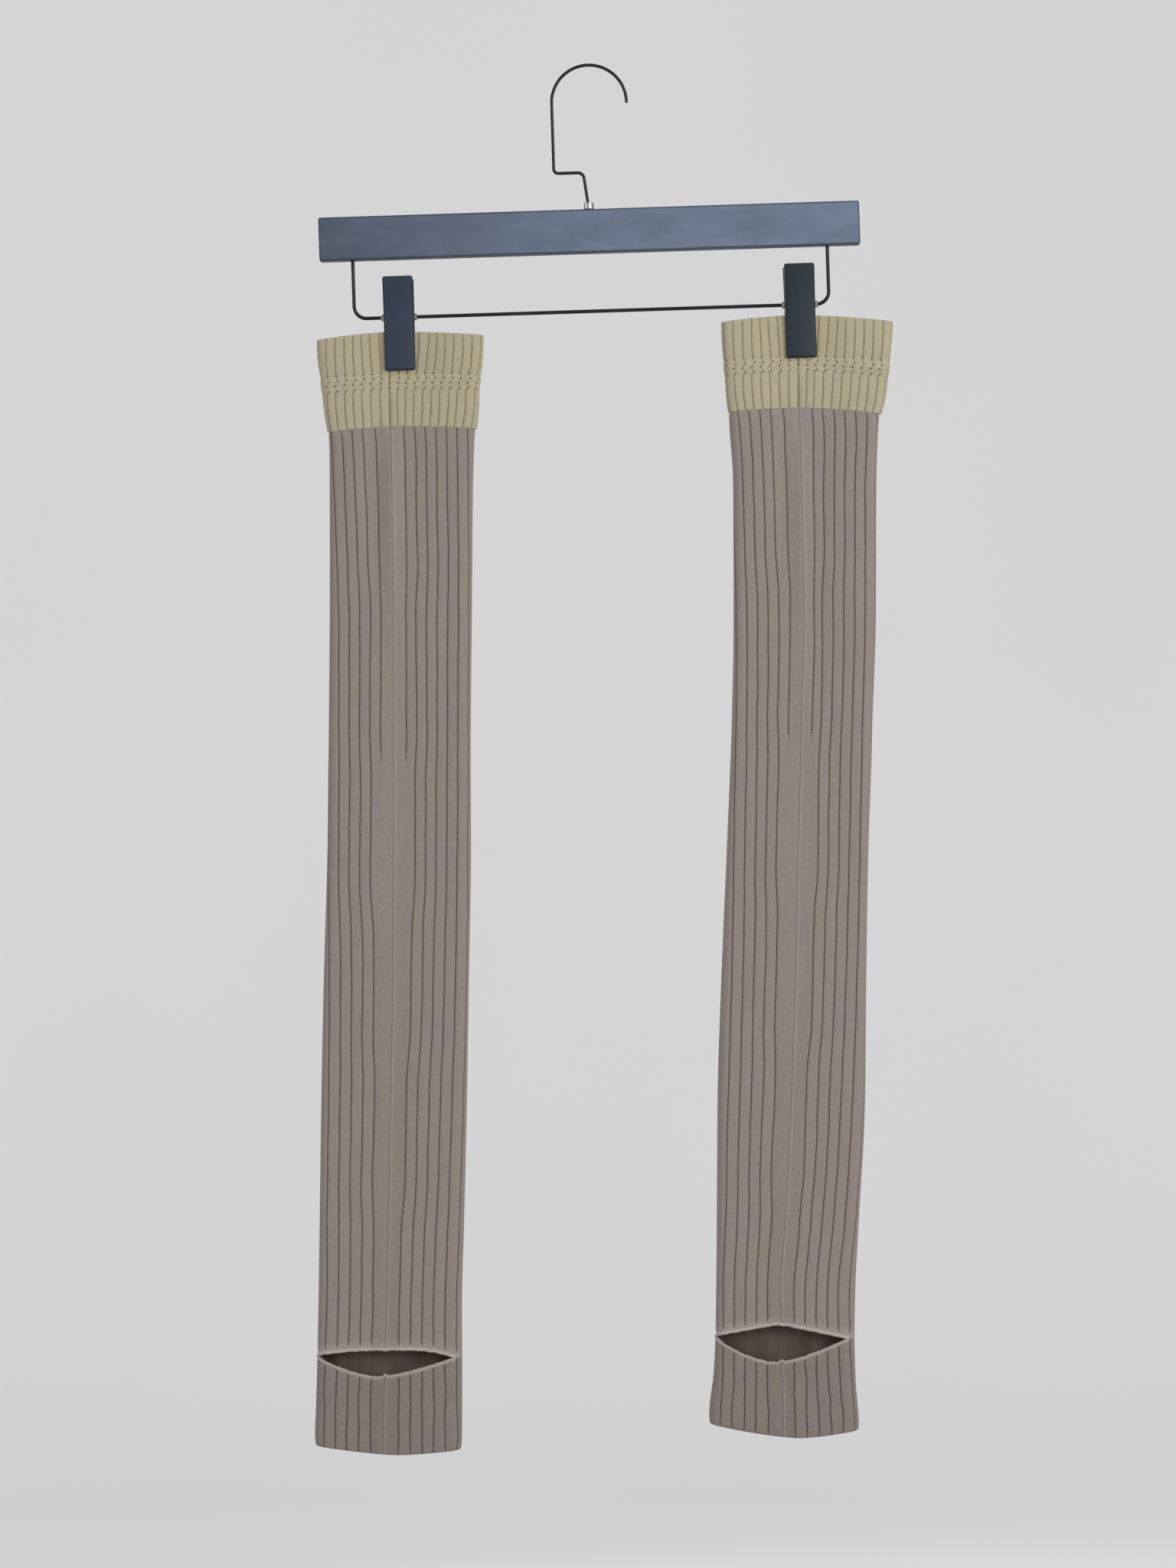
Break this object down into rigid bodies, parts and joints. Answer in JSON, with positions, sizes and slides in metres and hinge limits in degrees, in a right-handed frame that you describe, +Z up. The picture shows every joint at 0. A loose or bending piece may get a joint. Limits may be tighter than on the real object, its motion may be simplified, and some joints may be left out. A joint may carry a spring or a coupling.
{
  "type": "pair of ribbed knitted stockings on a clip hanger",
  "caption": "Long ribbed stockings with open heels and feet and finer ribbed cuffs, hung flat by the cuffs from a wooden clip hanger.",
  "frame": {"origin": "underside of the crown of the hook, where the hanger bears on what it hangs from", "axes": "+X to the right as one faces the centre-back seams, +Y away from that side, +Z up"},
  "size_m": [0.3741, 0.0208, 0.9003],
  "materials": {
    "painted_wood": "flat wooden bar under thin dark blue-grey satin paint, with faint grain",
    "painted_wire": "dark green-black stoved finish on drawn steel wire",
    "bright_steel": "bright nickel-plated steel",
    "clip_plastic": "satin moulded dark blue-grey plastic",
    "cuff_yarn": "pale straw-coloured rib knit, matt, with a shirred band",
    "leg_yarn": "taupe rib knit, matt, with fine dark grooves"
  },
  "bodies": {
    "root": {"clip_left_back": "clip_plastic", "clip_left_front": "clip_plastic", "clip_left_sleeve": "bright_steel", "clip_left_spring": "bright_steel", "clip_right_back": "clip_plastic", "clip_right_front": "clip_plastic", "clip_right_sleeve": "bright_steel", "clip_right_spring": "bright_steel", "hanger_bar": "painted_wood", "hook": "painted_wire", "hook_ferrule": "bright_steel", "left_cuff": "cuff_yarn", "left_leg": "leg_yarn", "lower_wire": "painted_wire", "right_cuff": "cuff_yarn", "right_leg": "leg_yarn"}
  },
  "joints": []
}
